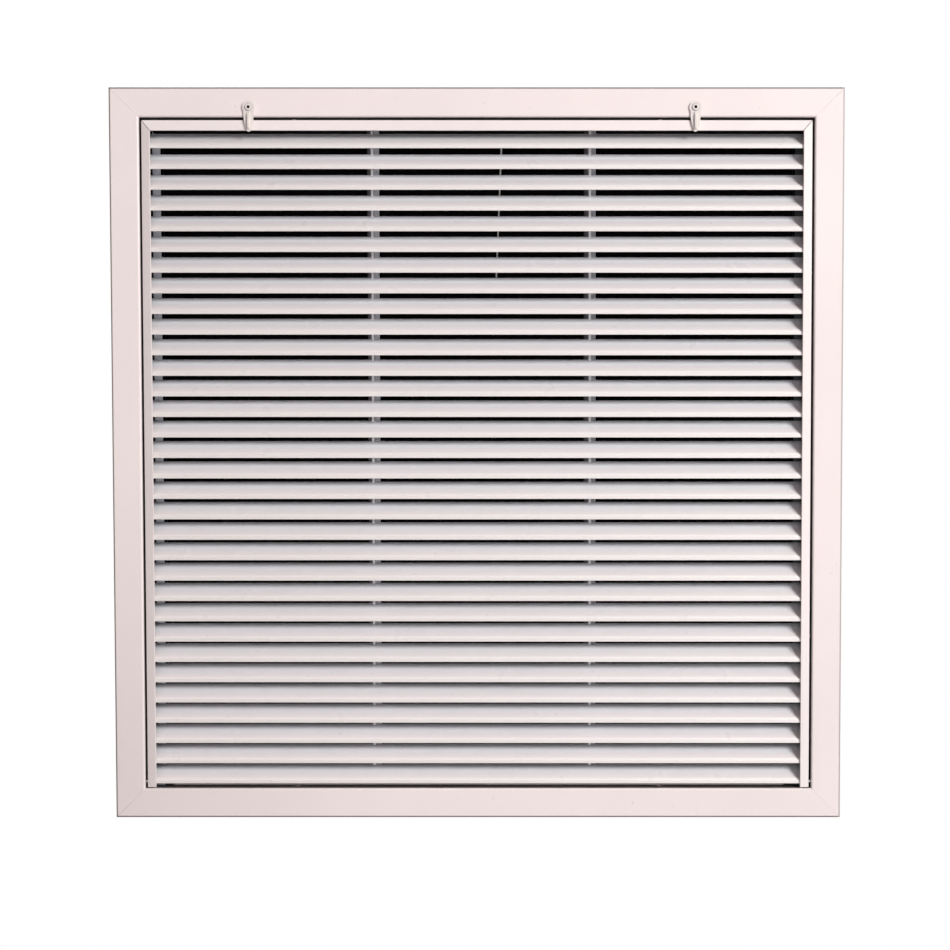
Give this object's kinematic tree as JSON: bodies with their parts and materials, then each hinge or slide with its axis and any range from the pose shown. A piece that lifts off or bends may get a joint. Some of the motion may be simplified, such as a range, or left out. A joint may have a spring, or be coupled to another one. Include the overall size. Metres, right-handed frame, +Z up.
{
  "type": "return air filter grille",
  "caption": "Square wall grille with a mitred flange, a drop-down core of fixed slanted blades, two swivel clips and a pleated filter in its neck.",
  "frame": {"origin": "middle of the flat outer foot under the bottom member of the flange, on the wall plane", "axes": "+Y into the wall, square to the foot faces and along the shortest extent; +Z up; +X to the right seen from the room"},
  "size_m": [0.656, 0.0563, 0.656],
  "materials": {
    "frame_paint": "satin white powder coat",
    "rail_paint": "satin white powder coat",
    "blade_paint": "satin white powder coat",
    "support_paint": "satin pale grey paint",
    "clip_paint": "semi-gloss white paint",
    "corner_key_metal": "mill",
    "pin_metal": "zinc plated",
    "rivet_metal": "white painted aluminium",
    "filter_clip_metal": "spring steel",
    "filter_channel_metal": "mill, in shadow",
    "filter_media_weave": "matt black woven mesh",
    "pull_wire_metal": "drawn wire"
  },
  "bodies": {
    "frame": {"frame_top": "frame_paint", "frame_bottom": "frame_paint", "frame_left": "frame_paint", "frame_right": "frame_paint", "corner_key_bottom_left": "corner_key_metal", "corner_key_bottom_right": "corner_key_metal", "corner_key_top_left": "corner_key_metal", "corner_key_top_right": "corner_key_metal", "hinge_pin_left": "pin_metal", "hinge_pin_right": "pin_metal", "clip_rivet_left": "rivet_metal", "clip_rivet_right": "rivet_metal", "filter_clip_upper_left": "filter_clip_metal", "filter_clip_lower_left": "filter_clip_metal", "filter_clip_upper_right": "filter_clip_metal", "filter_clip_lower_right": "filter_clip_metal", "filter_frame": "filter_channel_metal", "filter_media": "filter_media_weave", "filter_pull_wire": "pull_wire_metal"},
    "core": {"core_rail_top": "rail_paint", "core_rail_bottom": "rail_paint", "core_rail_left": "rail_paint", "core_rail_right": "rail_paint", "support_bar_left": "support_paint", "support_bar_right": "support_paint", "blade_01": "blade_paint", "blade_02": "blade_paint", "blade_03": "blade_paint", "blade_04": "blade_paint", "blade_05": "blade_paint", "blade_06": "blade_paint", "blade_07": "blade_paint", "blade_08": "blade_paint", "blade_09": "blade_paint", "blade_10": "blade_paint", "blade_11": "blade_paint", "blade_12": "blade_paint", "blade_13": "blade_paint", "blade_14": "blade_paint", "blade_15": "blade_paint", "blade_16": "blade_paint", "blade_17": "blade_paint", "blade_18": "blade_paint", "blade_19": "blade_paint", "blade_20": "blade_paint", "blade_21": "blade_paint", "blade_22": "blade_paint", "blade_23": "blade_paint", "blade_24": "blade_paint", "blade_25": "blade_paint", "blade_26": "blade_paint", "blade_27": "blade_paint", "blade_28": "blade_paint", "blade_29": "blade_paint", "blade_30": "blade_paint", "blade_31": "blade_paint", "blade_32": "blade_paint"},
    "clip_left": {"swivel_clip_left": "clip_paint"},
    "clip_right": {"swivel_clip_right": "clip_paint"}
  },
  "joints": [
    {"name": "core_tilt", "type": "hinge", "parent": "frame", "child": "core", "pos_m": [0, -0.0016, 0.0297], "axis": [1, 0, 0], "range_deg": [0, 90]},
    {"name": "clip_left_turn", "type": "hinge", "parent": "frame", "child": "clip_left", "pos_m": [-0.2032, -0.0048, 0.6355], "axis": [0, 1, 0], "range_deg": [-90, 90]},
    {"name": "clip_right_turn", "type": "hinge", "parent": "frame", "child": "clip_right", "pos_m": [0.195, -0.0048, 0.6355], "axis": [0, 1, 0], "range_deg": [-90, 90]}
  ]
}
